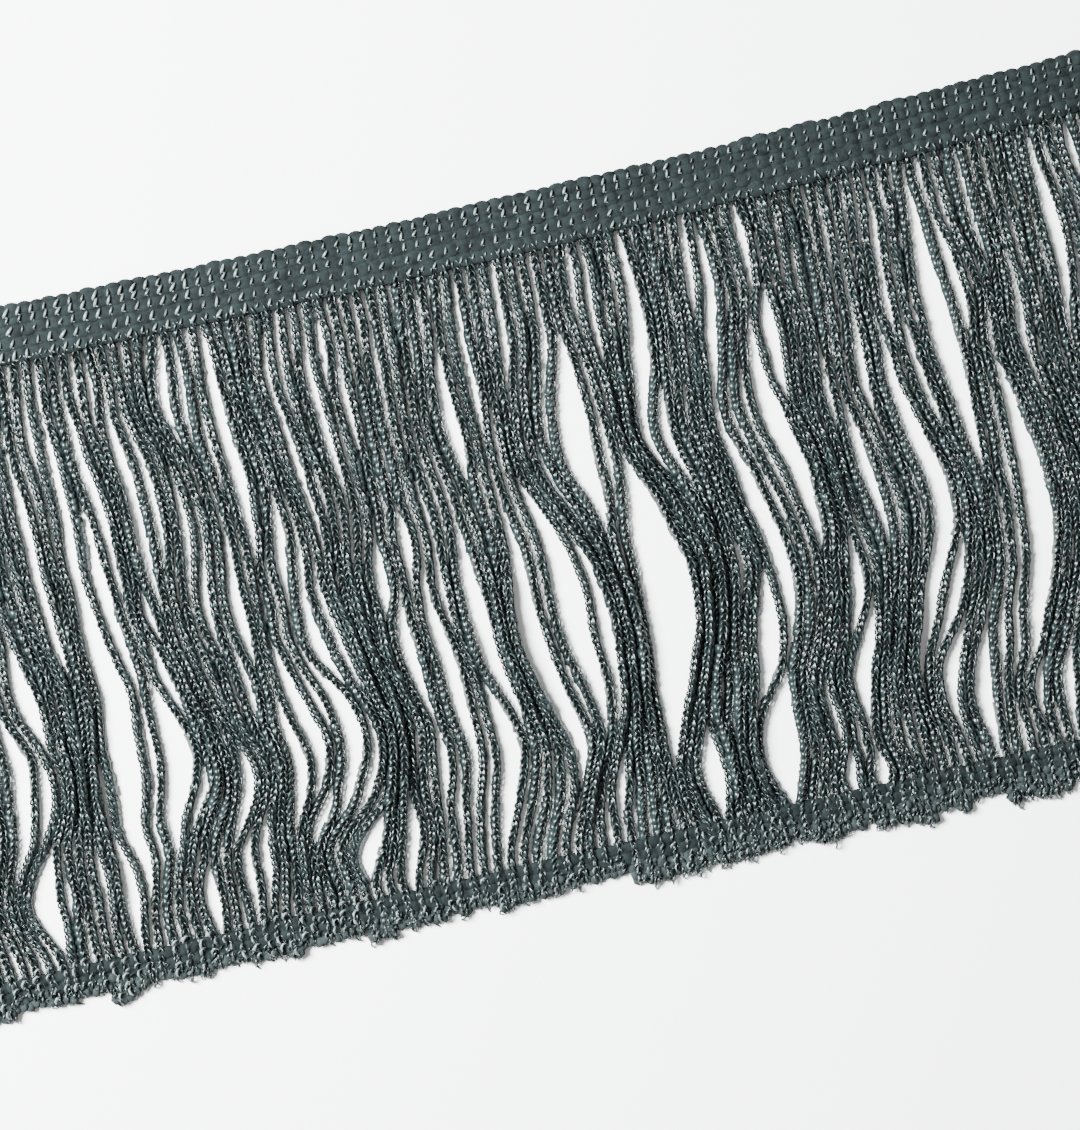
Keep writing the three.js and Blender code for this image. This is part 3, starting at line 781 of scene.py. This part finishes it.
# %% Loops of filament on the band and the cut ends
HOOK_PITCH, HOOK_LIFT, HOOK_SWAY = 1.1, BAND_LIFT + 0.5, 0.28
HOOK_ABOVE_BAND, HOOK_SHORT = 0.5, 0.7
HOOK_UNEVENNESS, HOOK_WOBBLE = 0.25, 0.5
hook_loop = [(-.30, -.42, .30, .05), (.02, -.36, .50, .12), (.20, .0, .54, .15), (.16, .36, .40, .06)]
hook_runs = [end_run(i, band_top(i) - HOOK_ABOVE_BAND, stub_ends[i] - HOOK_SHORT, HOOK_LIFT, HOOK_SWAY)
             for i in range(STRANDS)]
hooks = []
for number, (first, last, size) in enumerate(LOOP_SIZES, start=1):
    hook = sized_loop(f"hook_{number}", [hook_loop], size)
    hooks.append(stitch_along(f"cut_end_loops_{number}", hook_runs[first:last], hook, HOOK_PITCH,
                              HOOK_UNEVENNESS, HOOK_WOBBLE, laid_in_rayon_painted_sheen, SEED + number))
    bpy.data.objects.remove(hook)

# %% [markdown]
# A few legs of the last chains come loose and stray from every cut end, which gives the edge its fuzz.
# Each is one leg of the chain stitch on a short path of its own.

# %% Strays at the cut ends
STRAYS_A_STRAND, STRAY_PITCH = 4, 1.0
STRAY_BACK, STRAY_SIDE = (0.2, 2.2), 0.5
STRAY_LEAN, STRAY_LENGTH, STRAY_TURN = 0.5, (0.6, 1.0), 1.0
STRAY_START_HEIGHT, STRAY_END_HEIGHT = (0.6, 1.3), 0.5
STRAY_UNEVENNESS, STRAY_WOBBLE = 0.12, 0.3
stray_stitch = make_stitch("stray_stitch", [chain_leg])


def stray_run(i):
    """A short run that leans away from the cut end of one strand."""
    drop = stub_ends[i] - draw.uniform(*STRAY_BACK)
    place = np.interp(drop, drops, places[:, i]) + draw.uniform(-STRAY_SIDE, STRAY_SIDE)
    lean, length = draw.uniform(-STRAY_LEAN, STRAY_LEAN), draw.uniform(*STRAY_LENGTH)
    start = spot(place, drop, draw.uniform(*STRAY_START_HEIGHT))
    end = spot(place + math.sin(lean) * length / PITCH, drop + math.cos(lean) * length, STRAY_END_HEIGHT)
    return [(start, draw.uniform(-STRAY_TURN, STRAY_TURN)), (end, draw.uniform(-STRAY_TURN, STRAY_TURN))]


stray_runs = [stray_run(i) for i in range(STRANDS) for _ in range(STRAYS_A_STRAND)]
strays = stitch_along("cut_end_strays", stray_runs, stray_stitch, STRAY_PITCH, STRAY_UNEVENNESS,
                      STRAY_WOBBLE, rayon)
for used in (chain_stitch, root_stitch, band_stitch, tuft_stitch, stray_stitch):
    bpy.data.objects.remove(used)

# %% [markdown]
# Every piece rides on the part's one body.
# The solids have no stitches of their own, so all of them are replaced.

# %% Ride and replace
heading_all = [*strand_pieces, *heading_pieces, *heading_flecks, heading_ground]
band_all = [holding_band, tufts, tuft_ground, *hooks, strays]
for piece in heading_all:
    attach(piece, "root")
    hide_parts("heading_fringe")
for piece in band_all:
    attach(piece, "root")
    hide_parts("holding_band")
print("pieces:", len(heading_all), "on the heading and strands,", len(band_all), "on the band and cut ends")

# %% [markdown]
# The set: the ground in the photo is plain and white, so a large matte floor like paper is enough.

# %% Floor
FLOOR_HALF = 1.0


def make_floor():
    """One large square at the height of the table."""
    corners = [(-FLOOR_HALF, -FLOOR_HALF, 0), (FLOOR_HALF, -FLOOR_HALF, 0),
               (FLOOR_HALF, FLOOR_HALF, 0), (-FLOOR_HALF, FLOOR_HALF, 0)]
    mesh = bpy.data.meshes.new("floor")
    mesh.from_pydata(corners, [], [(0, 1, 2, 3)])
    material = bpy.data.materials.new("matte_white_paper")
    material.use_nodes = True
    shader = material.node_tree.nodes["Principled BSDF"]
    shader.inputs["Base Color"].default_value = linear("#f4f5f2")
    shader.inputs["Roughness"].default_value = 0.9
    mesh.materials.append(material)
    made = bpy.data.objects.new("floor", mesh)
    bpy.context.scene.collection.objects.link(made)
    return made


floor = make_floor()
print("floor:", [round(v, 2) for v in floor.dimensions], "m")

# %% [markdown]
# The light: the glints on the cords and the soft shadows to their right come from one broad lamp at the
# upper left.
# A pale surround fills the shadows, as the white walls of a room do.

# %% Light
KEY_PLACE, KEY_SIZE, KEY_POWER = Vector((-0.38, 0.21, 0.46)), 0.3, 43.0
KEY_COLOUR = (0.94, 1.0, 0.99)
SURROUND_STRENGTH = 0.6
key_data = bpy.data.lights.new("key", "AREA")
key_data.size = KEY_SIZE
key_data.energy = KEY_POWER
key_data.color = KEY_COLOUR
key = bpy.data.objects.new("key", key_data)
key.location = KEY_PLACE
key.rotation_euler = (-KEY_PLACE).to_track_quat("-Z", "Y").to_euler()
bpy.context.scene.collection.objects.link(key)
world = bpy.data.worlds.new("pale_surround")
world.use_nodes = True
surround = world.node_tree.nodes["Background"]
surround.inputs["Color"].default_value = linear("#f2f4f4")
surround.inputs["Strength"].default_value = SURROUND_STRENGTH
bpy.context.scene.world = world
print("key lamp", round(KEY_PLACE.length, 2), "m away")

# %% [markdown]
# The camera looks straight down, turned so that the heading rises to the right as it does in the photo.
# Its height follows from the 167 mm of table that the taller side of the picture spans.
# A long lens from far off keeps the strands from fanning out towards the edges of the picture.

# %% Camera
PHOTO_TILT = math.radians(13.19)
VIEW_SPAN = 167.2
VIEW_PLACE, VIEW_DROP = 49.62, 55.1
LENS, SENSOR = 100, 36
camera_data = bpy.data.cameras.new("camera")
camera_data.lens = LENS
camera_data.sensor_width = SENSOR
camera = bpy.data.objects.new("camera", camera_data)
camera.location = spot(VIEW_PLACE, VIEW_DROP, VIEW_SPAN * LENS / SENSOR)
camera.rotation_euler = (0, 0, -PHOTO_TILT)
bpy.context.scene.collection.objects.link(camera)
bpy.context.scene.camera = camera
print("camera", round(camera.location.z / MM), "mm above the table")
